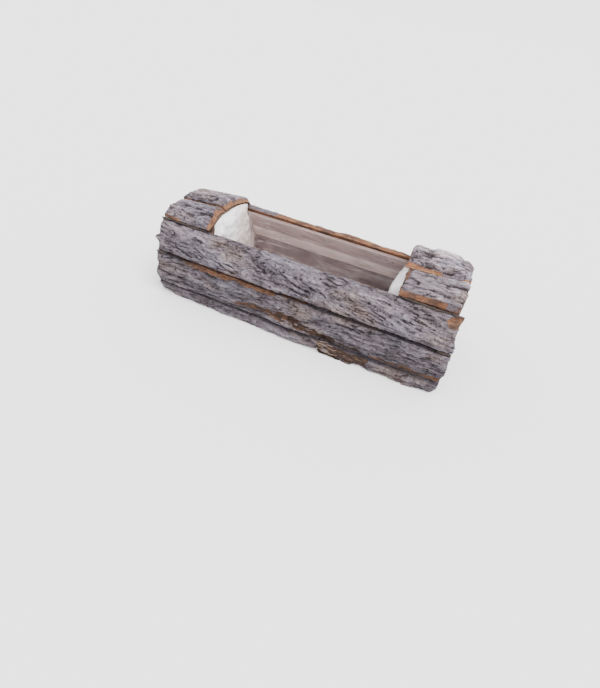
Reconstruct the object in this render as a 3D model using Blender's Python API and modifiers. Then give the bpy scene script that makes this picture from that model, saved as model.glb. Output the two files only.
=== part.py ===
"""Log-shaped planter trough: a board core clad in slabs of bark, with a film-lined opening on top.

Metres, +Z up. X runs along the log, -Y is its front, and the origin is at the middle of the flat
underside. A section is a (y, z) pair in the plane across the log.
"""

import math

import bmesh
import bpy
import numpy as np
from mathutils import Vector

LENGTH = 0.400
GAP = 0.0003
HALF_LENGTH = LENGTH / 2

# The opening and the boards that close its ends
WINDOW_HALF = 0.1275
PARTITION_THICKNESS = 0.008
END_BOARD_THICKNESS = 0.012
END_BOARD_INSET = 0.0015

# The section that the bark lies on, front side, from the foot up to the rim of the opening
FOOT = (-0.0600, 0.0025)
KNEE = (-0.0655, 0.0175)
SHOULDER = (-0.0663, 0.0615)
RIM = (-0.0500, 0.1040)

# The arch that carries the short slabs, as front eave, ridge and back eave
LEFT_ARCH = ((-0.0560, 0.1065), (-0.0140, 0.1160), (0.0480, 0.1080))
ARCH = ((-0.0570, 0.1068), (-0.0135, 0.1200), (0.0535, 0.1100))
FRONT_BEND = 0.0045
BACK_BEND = 0.0045
ARCH_CLEARANCE = 0.0009

# How far the arch has risen from the left end's to the full one at the left end of the opening
LEFT_RIB_SHARE = 0.92

SLAT_THICKNESS = 0.005
BASE_THICKNESS = 0.008
BASE_HALF_WIDTH = 0.0590
LINER_THICKNESS = 0.0008
LINER_CLEARANCE = 0.0004
GROUND_CLEARANCE = 0.0010

STAPLE_WIRE_RADIUS = 0.00045
STAPLE_HALF_CROWN = 0.0045
STAPLE_LEG = 0.0035
STAPLE_PLACES = (-0.095, 0.0, 0.095)
STAPLE_SHARE = 0.72
STAPLE_HOLE = (0.0018, 0.0018, 0.0140)

# Stretches of the wall's and the slope's section line that the slats cover
LOWER_SLAT = (0.0, 0.97)
MIDDLE_SLAT = (0.03, 0.42)
UPPER_SLAT = (0.45, 0.88)

# The bark's surface: size of a face, and noise as cells per metre along and across, and height
BARK_CELL_ALONG = 0.0072
BARK_CELL_ACROSS = 0.0038
WANDER = (13, 30, 0.0070)
PLATES = (12, 78, 0.0048)
SCALES = (31, 135, 0.0018)
LUMPS = (24, 60, 0.0013)
EDGE_WAVE = (45, 0.0011)
END_JAG = (120, 0.0025)
EDGE_WIDTH = 0.0040
EDGE_THINNING = 0.22
THIN_EDGE_SHARE = 0.28
THINNEST_BARK = 0.0035
DENT_EDGE = 0.0030
DENT_BLUR = 0.04
FLAT_WITHIN = math.radians(0.6)

# Slabs lie this far short of the lines where two of them meet
TRIM = 0.0010
RIM_TRIM = 0.0012
RIDGE_TRIM = 0.0016
WIDE_TRIM = 0.0022


def clear_scene():
    for obj in list(bpy.data.objects):
        bpy.data.objects.remove(obj, do_unlink=True)


def material(name, colour, roughness, metallic=0.0, alpha=1.0):
    made = bpy.data.materials.new(name)
    made.use_nodes = True
    shader = made.node_tree.nodes["Principled BSDF"]
    shader.inputs["Base Color"].default_value = (*colour, 1.0)
    shader.inputs["Roughness"].default_value = roughness
    shader.inputs["Metallic"].default_value = metallic
    shader.inputs["Alpha"].default_value = alpha
    return made


def collection(name):
    made = bpy.data.collections.new(name)
    bpy.context.scene.collection.children.link(made)
    return made


def place(obj, into, finish=None):
    """Moves a new object into a collection and gives it its material."""
    for holder in list(obj.users_collection):
        holder.objects.unlink(obj)
    into.objects.link(obj)
    if finish is not None:
        obj.data.materials.append(finish)
    return obj


def lattice_noise(x, y, seed):
    """Smooth noise from -1 to 1 on arrays: random values at whole numbers, blended between them."""
    x0, y0 = np.floor(x).astype(np.int64), np.floor(y).astype(np.int64)

    def corner(i, j):
        n = (x0 + i) * 374761393 + (y0 + j) * 668265263 + seed * 974634777
        n = n & 0xFFFFFFFF
        n = ((n ^ (n >> 13)) * 1274126177) & 0xFFFFFFFF
        return ((n ^ (n >> 16)) & 0xFFFF) / 32767.5 - 1.0

    fx, fy = x - x0, y - y0
    fx, fy = fx * fx * (3 - 2 * fx), fy * fy * (3 - 2 * fy)
    low = corner(0, 0) * (1 - fx) + corner(1, 0) * fx
    high = corner(0, 1) * (1 - fx) + corner(1, 1) * fx
    return low * (1 - fy) + high * fy


def bark_relief(x, g, seed, twist):
    """Height of the coarse bark over its mean, at x along the log and g across the slab.

    Long rounded plates stand between furrows, which run along the log and lean by twist.
    """
    def noise(kind, y, offset):
        return lattice_noise(x * kind[0], y * kind[1], seed + offset)

    across = g + twist * x + WANDER[2] * noise(WANDER, g, 3)
    plates = PLATES[2] * (np.abs(noise(PLATES, across, 0)) ** 0.7 - 0.50)
    scales = SCALES[2] * (np.abs(noise(SCALES, across, 5)) - 0.45)
    return plates + scales + LUMPS[2] * noise(LUMPS, g, 7)


def lerp(a, b, share):
    return a + (b - a) * share


def smooth(low, high, value):
    """0 below low, 1 above high and a smooth rise between them, on arrays."""
    share = np.clip((value - low) / (high - low), 0, 1)
    return share * share * (3 - 2 * share)


def band(low, high, edge, value):
    """1 between low and high and 0 outside them, with soft edges, on arrays."""
    return smooth(low - edge, low + edge, value) * (1 - smooth(high - edge, high + edge, value))


def mirrored(line):
    """A line across the log, front to back: it still runs the same way round the section."""
    (y0, z0), (y1, z1) = line
    return (-y1, z1), (-y0, z0)


def trimmed(line, first=TRIM, second=TRIM):
    """The same line, shorter at each end."""
    a, b = Vector(line[0]), Vector(line[1])
    step = (b - a).normalized()
    return tuple(a + step * first), tuple(b - step * second)


def slab_points(slab, u, v, relief_scale):
    """Points (x, y, z) of a slab at u along and v across it, both from 0 to 1.

    relief_scale is 1 on the outer face and 0 on the inner one.
    """
    ends = np.array(slab["ends"])
    first = np.array(slab["lines"][0]) * (1 - u)[:, None, None]
    line = first + np.array(slab["lines"][1]) * u[:, None, None]
    chord = line[:, 1] - line[:, 0]
    length = np.linalg.norm(chord, axis=1)
    tangent = chord / length[:, None]
    normal = np.stack([-tangent[:, 1], tangent[:, 0]], axis=1)
    width, seed = math.dist(*slab["lines"][0]), slab["seed"]
    g = v * width

    x_left, x_right = (lerp(ends[i, 0], ends[i, 1], v) for i in (0, 1))
    for side, low, high, cut in slab.get("nicks", ()):
        nick = cut * band(low, high, 0.06, v)
        x_left, x_right = (x_left + nick, x_right) if side < 0 else (x_left, x_right - nick)
    set_back = np.array(slab.get("set_back", ((0, 0), (0, 0)))) * relief_scale
    x_left = x_left + lerp(*set_back[0], v)
    x_right = x_right - lerp(*set_back[1], v)
    x = lerp(x_left, x_right, u)
    rough = np.where(u < 0.5, *slab.get("rough_ends", (1.0, 1.0)))
    jag = END_JAG[1] * lattice_noise(g * END_JAG[0], u * 3, seed + 11)
    uneven = x + rough * jag * np.abs(2 * u - 1) ** 8
    wave = EDGE_WAVE[1] * lattice_noise(x * EDGE_WAVE[0], v * 0 + 0.5, seed + 13) * (1 - 2 * v)

    depth, bend = slab["depth"], slab.get("bend", 0.0)
    outer = lerp(lerp(depth[0][0], depth[1][0], u), lerp(depth[0][1], depth[1][1], u), v)
    outer = outer + slab["crown"] * 4 * v * (1 - v) + bark_relief(x, g, seed, slab["twist"])
    for left, right, low, high, sink in slab.get("dents", ()):
        share = np.clip((x - left) / (right - left), 0, 1)
        inside = band(lerp(*low, share), lerp(*high, share), DENT_BLUR, v)
        outer = outer - sink * inside * band(left, right, DENT_EDGE, x)
    span = ends[1].mean() - ends[0].mean()
    edge = np.minimum(np.minimum(v, 1 - v) * width, np.minimum(u, 1 - u) * span)
    outer = outer * (1 - EDGE_THINNING * np.clip(1 - edge / EDGE_WIDTH, 0, 1))
    outer = outer * lerp(slab.get("thin_edge", 1.0), 1.0, smooth(0.0, THIN_EDGE_SHARE, v))
    outer = np.maximum(outer, THINNEST_BARK)

    slope = bend * 4 * (1 - 2 * v) / length
    local = normal - slope[:, None] * tangent
    local = local / np.linalg.norm(local, axis=1)[:, None]
    along_edge = np.stack([local[:, 1], -local[:, 0]], axis=1)
    lean = slab.get("lean", (0.0, 0.0))
    spread = relief_scale * (lean[1] * v - lean[0] * (1 - v))
    rise = lerp(GAP, outer, relief_scale)
    at = line[:, 0] + tangent * (v * length + wave)[:, None]
    at = at + normal * (bend * 4 * v * (1 - v))[:, None]
    at = at + local * rise[:, None] + along_edge * spread[:, None]
    at[:, 1] = np.maximum(at[:, 1], GROUND_CLEARANCE)
    return np.column_stack([uneven, at])


def bark_slab(name, into, finish, slab):
    """One slab of bark: a grid bent to its outer face and extruded down to a smooth inner one.

    In a slab, lines is its inner face across the log, at its left and right end, each from one
    edge to the other. ends is the x of its left and right end, each at the first and the second
    edge. depth is its thickness, in the same order. crown is extra thickness along the middle,
    bend the rise of the inner face between its edges, lean how far each edge's outer line stands
    out past its inner one, and thin_edge the share of the thickness at the first edge. set_back
    is how far the outer face stops short of the inner one at each end, in ends' order. dents,
    as (left, right, low, high, depth), are sunk in the outer face, with low and high across it
    at their left and right end. nicks, as (side, low, high, depth), are broken out of an end.
    Below zero, either stands out instead.
    """
    span = slab["ends"][1][0] - slab["ends"][0][0]
    width = math.dist(*slab["lines"][0])
    along = max(6, round(span / BARK_CELL_ALONG))
    across = max(4, round(width / BARK_CELL_ACROSS))

    bm = bmesh.new()
    bmesh.ops.create_grid(bm, x_segments=along, y_segments=across, size=0.5)
    grid = np.array([(vert.co.x + 0.5, vert.co.y + 0.5) for vert in bm.verts])
    outer = slab_points(slab, grid[:, 0], grid[:, 1], 1.0)
    inner = slab_points(slab, grid[:, 0], grid[:, 1], 0.0)
    row_of = {(round(u * along), round(v * across)): row for row, (u, v) in enumerate(grid)}
    made = bmesh.ops.extrude_face_region(bm, geom=list(bm.faces))
    lower = {item for item in made["geom"] if isinstance(item, bmesh.types.BMVert)}
    for vert in bm.verts:
        row = row_of[round((vert.co.x + 0.5) * along), round((vert.co.y + 0.5) * across)]
        vert.co = inner[row] if vert in lower else outer[row]
    bmesh.ops.recalc_face_normals(bm, faces=bm.faces)
    inner_edges = [e for e in bm.edges if all(lower.issuperset(f.verts) for f in e.link_faces)]
    bmesh.ops.dissolve_limit(bm, angle_limit=FLAT_WITHIN, verts=[], edges=inner_edges)
    bmesh.ops.triangulate(bm, faces=bm.faces)
    mesh = bpy.data.meshes.new(name)
    bm.to_mesh(mesh)
    bm.free()
    return place(bpy.data.objects.new(name, mesh), into, finish)


def slat(name, into, finish, line, share, ends):
    """A flat board behind the bark: share is the stretch of the section line that it covers."""
    first, second = Vector(line[0]), Vector(line[1])
    tangent = (second - first).normalized()
    normal = Vector((-tangent.y, tangent.x))
    low, high = first.lerp(second, share[0]), first.lerp(second, share[1])
    centre = (low + high) / 2 - normal * (GAP + SLAT_THICKNESS / 2)
    bpy.ops.mesh.primitive_cube_add(size=1.0)
    obj = bpy.context.object
    obj.name = name
    obj.scale = (ends[1] - ends[0], (high - low).length, SLAT_THICKNESS)
    obj.rotation_euler = (math.atan2(tangent.y, tangent.x), 0, 0)
    obj.location = ((ends[0] + ends[1]) / 2, centre.x, centre.y)
    bpy.ops.object.transform_apply(location=False, rotation=False, scale=True)
    return place(obj, into, finish)


def flat_outline(name, into, finish, outline, centre_x, thickness):
    """A board across the log: a filled outline in the plane of the section."""
    curve = bpy.data.curves.new(name, "CURVE")
    curve.dimensions = "2D"
    curve.fill_mode = "BOTH"
    curve.extrude = thickness / 2
    spline = curve.splines.new("POLY")
    spline.points.add(len(outline) - 1)
    for point, (y, z) in zip(spline.points, outline):
        point.co = (y, z, 0, 1)
    spline.use_cyclic_u = True
    obj = bpy.data.objects.new(name, curve)
    obj.rotation_euler = (math.pi / 2, 0, math.pi / 2)
    obj.location = (centre_x, 0, 0)
    return place(obj, into, finish)


def as_mesh(obj, into):
    """A mesh object in place of a curve object, with the curve's loose caps welded on."""
    bpy.context.view_layer.update()
    evaluated = obj.evaluated_get(bpy.context.evaluated_depsgraph_get())
    mesh = bpy.data.meshes.new_from_object(evaluated)
    bm = bmesh.new()
    bm.from_mesh(mesh)
    bmesh.ops.remove_doubles(bm, verts=bm.verts, dist=1e-6)
    bm.to_mesh(mesh)
    bm.free()
    name = obj.name
    made = bpy.data.objects.new(name + "_mesh", mesh)
    made.matrix_world = obj.matrix_world.copy()
    into.objects.link(made)
    bpy.data.objects.remove(obj, do_unlink=True)
    made.name = name
    return made


def cut(obj, tool):
    made = obj.modifiers.new("cut_" + tool.name, "BOOLEAN")
    made.operation = "DIFFERENCE"
    made.object = tool


def inset(point, nxt, distance):
    """Both ends of a section line, moved inwards by a distance."""
    first, second = Vector(point), Vector(nxt)
    tangent = (second - first).normalized()
    inward = Vector((tangent.y, -tangent.x)) * distance
    return first + inward, second + inward


def crossing(a, b):
    """Where two lines across the section, each a pair of points, meet."""
    (p, p2), (q, q2) = a, b
    r, s = p2 - p, q2 - q
    share = ((q - p).x * s.y - (q - p).y * s.x) / (r.x * s.y - r.y * s.x)
    return p + r * share


def between(first, second, share):
    """An arch part of the way from one to the other."""
    return [(lerp(a[0], b[0], share), lerp(a[1], b[1], share)) for a, b in zip(first, second)]


def rib_outline(arch):
    """Outline of a board across the log, inside the slats and under the arch of short slabs."""
    depth = SLAT_THICKNESS + 3 * GAP
    wall = inset(KNEE, SHOULDER, depth)
    slope = inset(SHOULDER, RIM, depth)
    bend = crossing(wall, slope)
    foot = wall[0].lerp(wall[1], (BASE_THICKNESS + GAP - wall[0].y) / (wall[1].y - wall[0].y))
    top = slope[1]
    front = [(foot.x, foot.y), (bend.x, bend.y), (top.x, top.y)]
    back = [(-y, z) for y, z in reversed(front)]
    eave, ridge, back_eave = arch
    crest = []
    for first, second, rise, shares in (
        (eave, ridge, FRONT_BEND, (0.30, 0.55, 0.80, 1.0)),
        (ridge, back_eave, BACK_BEND, (0.20, 0.40, 0.60, 0.80)),
    ):
        for share in shares:
            y, z = (lerp(first[i], second[i], share) for i in (0, 1))
            crest.append((y, z + rise * 4 * share * (1 - share) - ARCH_CLEARANCE))
    return front + crest + back


def liner(into, finish):
    """The film tray: a prism as the core's inside, with its top face taken off."""
    depth = SLAT_THICKNESS + GAP + LINER_CLEARANCE
    wall, slope = inset(KNEE, SHOULDER, depth), inset(SHOULDER, RIM, depth)
    bend = crossing(wall, slope)
    floor_z = BASE_THICKNESS + GAP
    foot = wall[0].lerp(wall[1], (floor_z - wall[0].y) / (wall[1].y - wall[0].y))
    front = [(foot.x, foot.y), (bend.x, bend.y), (slope[1].x, slope[1].y)]
    outline = front + [(-y, z) for y, z in reversed(front)]
    length = 2 * (WINDOW_HALF - LINER_CLEARANCE)
    tray = as_mesh(flat_outline("liner", into, None, outline, 0.0, length), into)
    bm = bmesh.new()
    bm.from_mesh(tray.data)
    rim_z = slope[1].y
    lids = [f for f in bm.faces if all(abs(v.co.y - rim_z) < 1e-5 for v in f.verts)]
    bmesh.ops.delete(bm, geom=lids, context="FACES_ONLY")
    bmesh.ops.recalc_face_normals(bm, faces=bm.faces)
    bm.to_mesh(tray.data)
    bm.free()
    wall_of = tray.modifiers.new("film", "SOLIDIFY")
    wall_of.thickness = LINER_THICKNESS
    wall_of.offset = -1.0
    wall_of.use_even_offset = True
    tray.data.materials.append(finish)
    return tray


def staple(name, into, helpers, finish, place_x, side):
    """A wire staple through the film into the upper slat. Returns cutters for its legs' holes."""
    line = (SHOULDER, RIM) if side < 0 else mirrored((SHOULDER, RIM))
    first, second = Vector(line[0]), Vector(line[1])
    tangent = (second - first).normalized()
    inward = Vector((tangent.y, -tangent.x))
    at = first.lerp(second, STAPLE_SHARE if side < 0 else 1 - STAPLE_SHARE)
    crown = at + inward * (SLAT_THICKNESS + 2 * GAP + LINER_CLEARANCE + LINER_THICKNESS
                           + STAPLE_WIRE_RADIUS)
    tip = crown - inward * STAPLE_LEG
    curve = bpy.data.curves.new(name, "CURVE")
    curve.dimensions = "3D"
    curve.bevel_depth = STAPLE_WIRE_RADIUS
    curve.bevel_resolution = 1
    curve.use_fill_caps = True
    spline = curve.splines.new("POLY")
    spline.points.add(3)
    legs = (place_x - STAPLE_HALF_CROWN, place_x + STAPLE_HALF_CROWN)
    route = [(legs[0], tip), (legs[0], crown), (legs[1], crown), (legs[1], tip)]
    for point, (x, section) in zip(spline.points, route):
        point.co = (x, section.x, section.y, 1)
    place(bpy.data.objects.new(name, curve), into, finish)

    holes = []
    for number, x in enumerate(legs):
        bpy.ops.mesh.primitive_cube_add(size=1.0)
        hole = bpy.context.object
        hole.name = f"{name}_hole_{number}"
        hole.scale = STAPLE_HOLE
        hole.rotation_euler = (math.atan2(tangent.y, tangent.x), 0, 0)
        hole.location = (x, crown.x, crown.y)
        hole.hide_render = True
        hole.display_type = "WIRE"
        holes.append(place(hole, helpers))
    return holes


def bark_slabs():
    """Every slab of bark by its name."""
    left, right = -HALF_LENGTH, HALF_LENGTH
    near_left, near_right = -WINDOW_HALF, WINDOW_HALF
    foot = trimmed((FOOT, KNEE), 0)
    wall = trimmed((KNEE, SHOULDER))
    slope = trimmed((SHOULDER, RIM), TRIM, RIM_TRIM)
    back_foot, back_wall, back_slope = mirrored(foot), mirrored(wall), mirrored(slope)
    left_front = trimmed(LEFT_ARCH[:2], TRIM, RIDGE_TRIM)
    left_back = trimmed(LEFT_ARCH[1:], TRIM, TRIM)
    front, back = trimmed(ARCH[:2], TRIM, RIDGE_TRIM), trimmed(ARCH[1:], RIDGE_TRIM, TRIM)
    wide_front, wide_back = trimmed(ARCH[:2], TRIM, WIDE_TRIM), trimmed(ARCH[1:], WIDE_TRIM, TRIM)
    return {
        "bark_front_upper": dict(
            lines=(slope, slope), ends=((left - 0.001, left + 0.002), (right + 0.007, right + 0.002)),
            depth=((0.0085, 0.0075), (0.0090, 0.0075)), crown=0.0065, seed=21, twist=0.10,
            nicks=((-1, 0.33, 0.48, -0.006),),
            dents=((0.187, 0.220, (0.66, 0.62), (1.10, 1.10), 0.0030),)),
        "bark_front_lower": dict(
            lines=(wall, wall), ends=((left - 0.003, left - 0.001), (right + 0.008, right + 0.008)),
            depth=((0.0105, 0.0090), (0.0115, 0.0095)), crown=0.0025, seed=35, twist=-0.03,
            dents=((-0.160, -0.022, (0.92, 0.90), (1.10, 1.10), 0.0030),
                   (-0.075, 0.012, (0.20, 0.24), (0.32, 0.54), 0.0025),
                   (0.004, 0.058, (0.22, -0.10), (0.54, 0.30), 0.0040),
                   (0.052, 0.112, (-0.10, -0.10), (0.32, 0.10), 0.0045),
                   (0.110, 0.205, (0.00, 0.04), (0.09, 0.20), 0.0015))),
        "bark_front_foot_left": dict(
            lines=(foot, foot), ends=((left - 0.002, left - 0.003), (0.0490, 0.0490)),
            depth=((0.0120, 0.0120), (0.0190, 0.0150)), crown=0.0005, seed=46, twist=0.0,
            rough_ends=(0.6, 0.2)),
        "bark_front_foot_right": dict(
            lines=(foot, foot), ends=((0.0500, 0.0500), (right + 0.005, right + 0.008)),
            depth=((0.0250, 0.0150), (0.0185, 0.0130)), crown=0.0005, seed=58, twist=0.0,
            rough_ends=(0.2, 1.0), dents=((0.030, 0.120, (-0.10, 0.45), (1.10, 1.10), 0.0025),
                                          (0.100, 0.165, (-0.10, -0.10), (0.40, 0.40), 0.0065))),
        "bark_back_upper": dict(
            lines=(back_slope, back_slope), ends=((left + 0.001, left + 0.001), (right, right)),
            depth=((0.0120, 0.0090), (0.0070, 0.0090)), crown=0.0050, seed=63, twist=0.04),
        "bark_back_lower_left": dict(
            lines=(back_wall, back_wall), ends=((left, left), (-0.0300, -0.0300)),
            depth=((0.0095, 0.0105), (0.0100, 0.0110)), crown=0.0025, seed=74, twist=0.0,
            rough_ends=(1.0, 0.4)),
        "bark_back_lower_right": dict(
            lines=(back_wall, back_wall), ends=((-0.0275, -0.0275), (right, right)),
            depth=((0.0085, 0.0100), (0.0095, 0.0105)), crown=0.0030, seed=89, twist=0.03,
            rough_ends=(0.4, 1.0), dents=((0.020, 0.090, (-0.10, -0.10), (0.15, 0.15), 0.0030),)),
        "bark_back_foot": dict(
            lines=(back_foot, back_foot), ends=((left + 0.003, left + 0.003), (right, right)),
            depth=((0.0120, 0.0115), (0.0115, 0.0110)), crown=0.0005, seed=92, twist=0.0),
        "bark_left_top_front": dict(
            lines=(left_front, front), ends=((left + 0.004, left + 0.013), (near_left, near_left)),
            depth=((0.0100, 0.0040), (0.0130, 0.0065)), crown=0.0010, seed=107, twist=0.05,
            bend=FRONT_BEND, lean=(-0.0030, 0.0), thin_edge=0.50,
            set_back=((0.0, 0.0), (0.0030, 0.0085))),
        "bark_left_top_back": dict(
            lines=(left_back, back), ends=((left, left), (near_left, near_left)),
            depth=((0.0085, 0.0048), (0.0100, 0.0062)), crown=-0.0010, seed=118, twist=0.02,
            bend=BACK_BEND, lean=(-0.0010, 0.0), set_back=((0.0, 0.0), (0.0060, 0.0050))),
        "bark_right_top_front": dict(
            lines=(front, wide_front),
            ends=((near_right - 0.001, near_right - 0.001), (right - 0.002, right - 0.003)),
            depth=((0.0095, 0.0060), (0.0140, 0.0070)), crown=0.0015, seed=127, twist=0.0,
            bend=FRONT_BEND, lean=(-0.0055, -0.0025), set_back=((0.0010, 0.0070), (0.0, 0.0))),
        "bark_right_top_back": dict(
            lines=(back, wide_back),
            ends=((near_right - 0.005, near_right - 0.009), (right - 0.001, right - 0.004)),
            depth=((0.0120, 0.0110), (0.0110, 0.0085)), crown=0.0040, seed=139, twist=0.0,
            bend=BACK_BEND, lean=(-0.0040, 0.0), set_back=((0.0020, 0.0010), (0.0010, 0.0010)),
            dents=((0.148, 0.182, (0.30, 0.30), (1.10, 1.10), -0.0030),)),
    }


def build():
    clear_scene()
    planter = collection("log_planter")
    helpers = collection("cutters")
    helpers.hide_render = True
    bark = material("bark", (0.36, 0.33, 0.34), 0.92)
    board = material("board", (0.42, 0.31, 0.22), 0.80)
    pale = material("pale_board", (0.60, 0.49, 0.37), 0.78)
    film = material("film", (0.86, 0.86, 0.88), 0.25, alpha=0.35)
    steel = material("staple_steel", (0.62, 0.62, 0.64), 0.35, metallic=1.0)

    wall, slope = (KNEE, SHOULDER), (SHOULDER, RIM)

    # Core: base, boards across the log, and three slats along each side
    bpy.ops.mesh.primitive_cube_add(size=1.0, location=(0, 0, BASE_THICKNESS / 2))
    base = bpy.context.object
    base.name = "base_board"
    base.scale = (LENGTH - 2 * END_BOARD_INSET, 2 * BASE_HALF_WIDTH, BASE_THICKNESS)
    bpy.ops.object.transform_apply(location=False, rotation=False, scale=True)
    place(base, planter, board)

    end_x = HALF_LENGTH - END_BOARD_INSET - END_BOARD_THICKNESS / 2
    rib_x = WINDOW_HALF + PARTITION_THICKNESS / 2
    for name, x, thickness, arch in (
        ("end_board_left", -end_x, END_BOARD_THICKNESS, LEFT_ARCH),
        ("partition_left", -rib_x, PARTITION_THICKNESS, between(LEFT_ARCH, ARCH, LEFT_RIB_SHARE)),
        ("partition_right", rib_x, PARTITION_THICKNESS, ARCH),
        ("end_board_right", end_x, END_BOARD_THICKNESS, ARCH),
    ):
        flat_outline(name, planter, board, rib_outline(arch), x, thickness)

    slat_ends = (-(HALF_LENGTH - END_BOARD_INSET), HALF_LENGTH - END_BOARD_INSET)
    slats = {}
    for side, turn in (("front", lambda line: line), ("back", mirrored)):
        for level, line, share, finish in (
            ("lower", wall, LOWER_SLAT, board),
            ("middle", slope, MIDDLE_SLAT, pale),
            ("upper", slope, UPPER_SLAT, board),
        ):
            if side == "back":
                share = (1 - share[1], 1 - share[0])
            name = f"slat_{side}_{level}"
            slats[name] = slat(name, planter, finish, turn(line), share, slat_ends)

    tray = liner(planter, film)
    for side, sign in (("front", -1), ("back", 1)):
        for number, x in enumerate(STAPLE_PLACES, start=1):
            name = f"staple_{side}_{number}"
            for hole in staple(name, planter, helpers, steel, x, sign):
                cut(tray, hole)
                cut(slats[f"slat_{side}_upper"], hole)

    for name, slab in bark_slabs().items():
        bark_slab(name, planter, bark, slab)


build()
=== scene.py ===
"""Looks of the log planter: bark slabs, boards, crumpled film and staples around the fixed frame.

Metres, +Z up. X runs along the log and -Y is its front. A section is a (y, z) pair across the log.
On a slab, u runs from its left to its right end and v across it, both from 0 to 1, and g is the
distance across it.
"""

import math

import bpy
import numpy as np
from mathutils import Matrix, Vector


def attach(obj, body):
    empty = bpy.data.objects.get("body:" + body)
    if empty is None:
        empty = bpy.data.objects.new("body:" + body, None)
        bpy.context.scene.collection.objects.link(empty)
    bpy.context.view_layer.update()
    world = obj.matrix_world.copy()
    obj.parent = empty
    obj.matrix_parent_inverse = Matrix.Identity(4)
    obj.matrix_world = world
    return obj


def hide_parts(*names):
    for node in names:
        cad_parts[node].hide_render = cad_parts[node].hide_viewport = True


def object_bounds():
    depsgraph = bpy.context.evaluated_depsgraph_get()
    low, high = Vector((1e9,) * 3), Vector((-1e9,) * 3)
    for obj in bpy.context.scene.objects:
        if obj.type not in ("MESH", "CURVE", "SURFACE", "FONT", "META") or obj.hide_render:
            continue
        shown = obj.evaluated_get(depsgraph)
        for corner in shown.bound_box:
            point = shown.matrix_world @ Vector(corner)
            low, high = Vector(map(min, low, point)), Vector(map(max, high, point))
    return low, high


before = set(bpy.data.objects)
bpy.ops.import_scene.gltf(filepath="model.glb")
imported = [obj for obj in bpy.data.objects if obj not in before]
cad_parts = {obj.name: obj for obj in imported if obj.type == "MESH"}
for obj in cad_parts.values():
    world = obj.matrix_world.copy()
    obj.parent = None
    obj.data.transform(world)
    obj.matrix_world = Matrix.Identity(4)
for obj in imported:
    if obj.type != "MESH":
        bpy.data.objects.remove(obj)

CAD_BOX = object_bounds()

# The photograph's frame and the camera that it was taken with
FRAME_HEIGHT_PX = 688
FOCAL_PX = 398
SENSOR_MM = 36.0
CAMERA_AT = Vector((0.1498, -0.4626, 0.3500))
CAMERA_AZIMUTH = 0.3101
CAMERA_ELEVATION = 0.7125
CAMERA_ROLL = 0.1630

# The studio
FLOOR_REACH = 40.0
FLOOR_COLOUR = (0.68, 0.68, 0.68, 1)
FLOOR_ROUGHNESS = 0.9
WORLD_COLOUR = (1.0, 1.0, 1.0, 1.0)
WORLD_STRENGTH = 3.00
SUN_AT = (0.52, -0.25, 1.05)
SUN_POWER = 5.4
SUN_SPREAD = 0.60

# The frame's sizes that the pieces are worked out from
HALF_LENGTH = 0.200
WINDOW_HALF = 0.1275
KNEE = (-0.0655, 0.0175)
SHOULDER = (-0.0663, 0.0615)
RIM = (-0.0500, 0.1040)
FOOT = (-0.0600, 0.0025)
LEFT_ARCH = ((-0.0560, 0.1065), (-0.0140, 0.1160), (0.0480, 0.1080))
ARCH = ((-0.0570, 0.1068), (-0.0135, 0.1200), (0.0535, 0.1100))
FRONT_BEND = 0.0045
BACK_BEND = 0.0045
TRIM = 0.0010
RIM_TRIM = 0.0012
RIDGE_TRIM = 0.0016
WIDE_TRIM = 0.0022
GAP = 0.0003
GROUND_CLEARANCE = 0.0010
SLAT_THICKNESS = 0.005
BASE_THICKNESS = 0.008

# The coarse bark of the frame's slabs: noise as cells per metre along and across, and height
WANDER = (13, 30, 0.0070)
PLATES = (12, 78, 0.0048)
PLATE_ROUNDING = 0.7
PLATE_LEVEL = 0.50
SCALES = (31, 135, 0.0018)
SCALE_LEVEL = 0.45
LUMPS = (24, 60, 0.0013)
EDGE_WAVE = (45, 0.0011)
END_JAG = (120, 0.0025)
END_JAG_CELLS = 3
END_JAG_REACH = 8
EDGE_WIDTH = 0.0040
EDGE_THINNING = 0.22
THIN_EDGE_SHARE = 0.28
NICK_EDGE = 0.06
DENT_EDGE = 0.0030
DENT_BLUR = 0.04

# The fine bark over it, in the same way
BENT_ALONG = (45, 80, 0.0030)
BENT_ACROSS = (34, 90, 0.0026)
BENT_FINELY = (160, 300, 0.0007)
WIDE_FURROWS = (20, 150, 0.0019)
WIDE_FURROW_WIDTH = 0.09
WIDE_FURROW_PATCHES = (40, 70)
NARROW_FURROWS = (55, 350, 0.0008)
NARROW_FURROW_WIDTH = 0.10
NARROW_FURROW_PATCHES = (60, 110)
FLAKES = (60, 240, 0.0007)
CHIPS = (150, 420, 0.0004)
GRAIN = (400, 560, 0.00028)
PITS = (210, 340, 0.0012)
FINE_JAG = (420, 0.0009)
FINE_WAVE = (210, 0.0006)
ROUNDED_EDGE = (0.0012, 0.0008)
BARK_FLOOR = 0.0022
FLOOR_GRAIN = (300, 900, 0.0004)

# Patches that have lost their bark
TORN_EDGE = 0.0025
TORN_BLUR = 0.035
RAGGED_ALONG = (80, 130, 0.0060)
RAGGED_ACROSS = (65, 90, 0.07)
RAGGED_BY_ROT = 0.05
SCRAPS = (75, 210, 0.75)
WOOD_FIBRES = (45, 900, 0.0005)
ROTTEN_LUMPS = (60, 280, 0.0016)

# How the heights become painted shade in the bark's furrows and pits and painted highlight on its
# ridges: the mean, then metres from dark to light
PAINTED_SHADE_MEAN = 0.54
PAINTED_SHADE_DETAIL_RANGE = 0.0056
PAINTED_SHADE_RELIEF_RANGE = 0.0165

# The slabs' grids and the walls round them
STEP_ALONG = 0.0011
STEP_ACROSS = 0.0008
WALL_ROWS = 6
WALL_LAYERS = (240, 700, 0.0006)
WALL_GRAIN = (900, 900, 0.0003)
WALL_HOLLOW = 0.0006
# How much the walls' hollows darken as painted shade, per metre of depth
WALL_PAINTED_SHADE_GAIN = 160
WALL_DECAY = 0.8
FRESH_PATCHES = 60
FRESH_EDGE = 0.004
FRESH_BY_DEFAULT = (0.6, 0.6, 0.5, 0.5)

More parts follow.
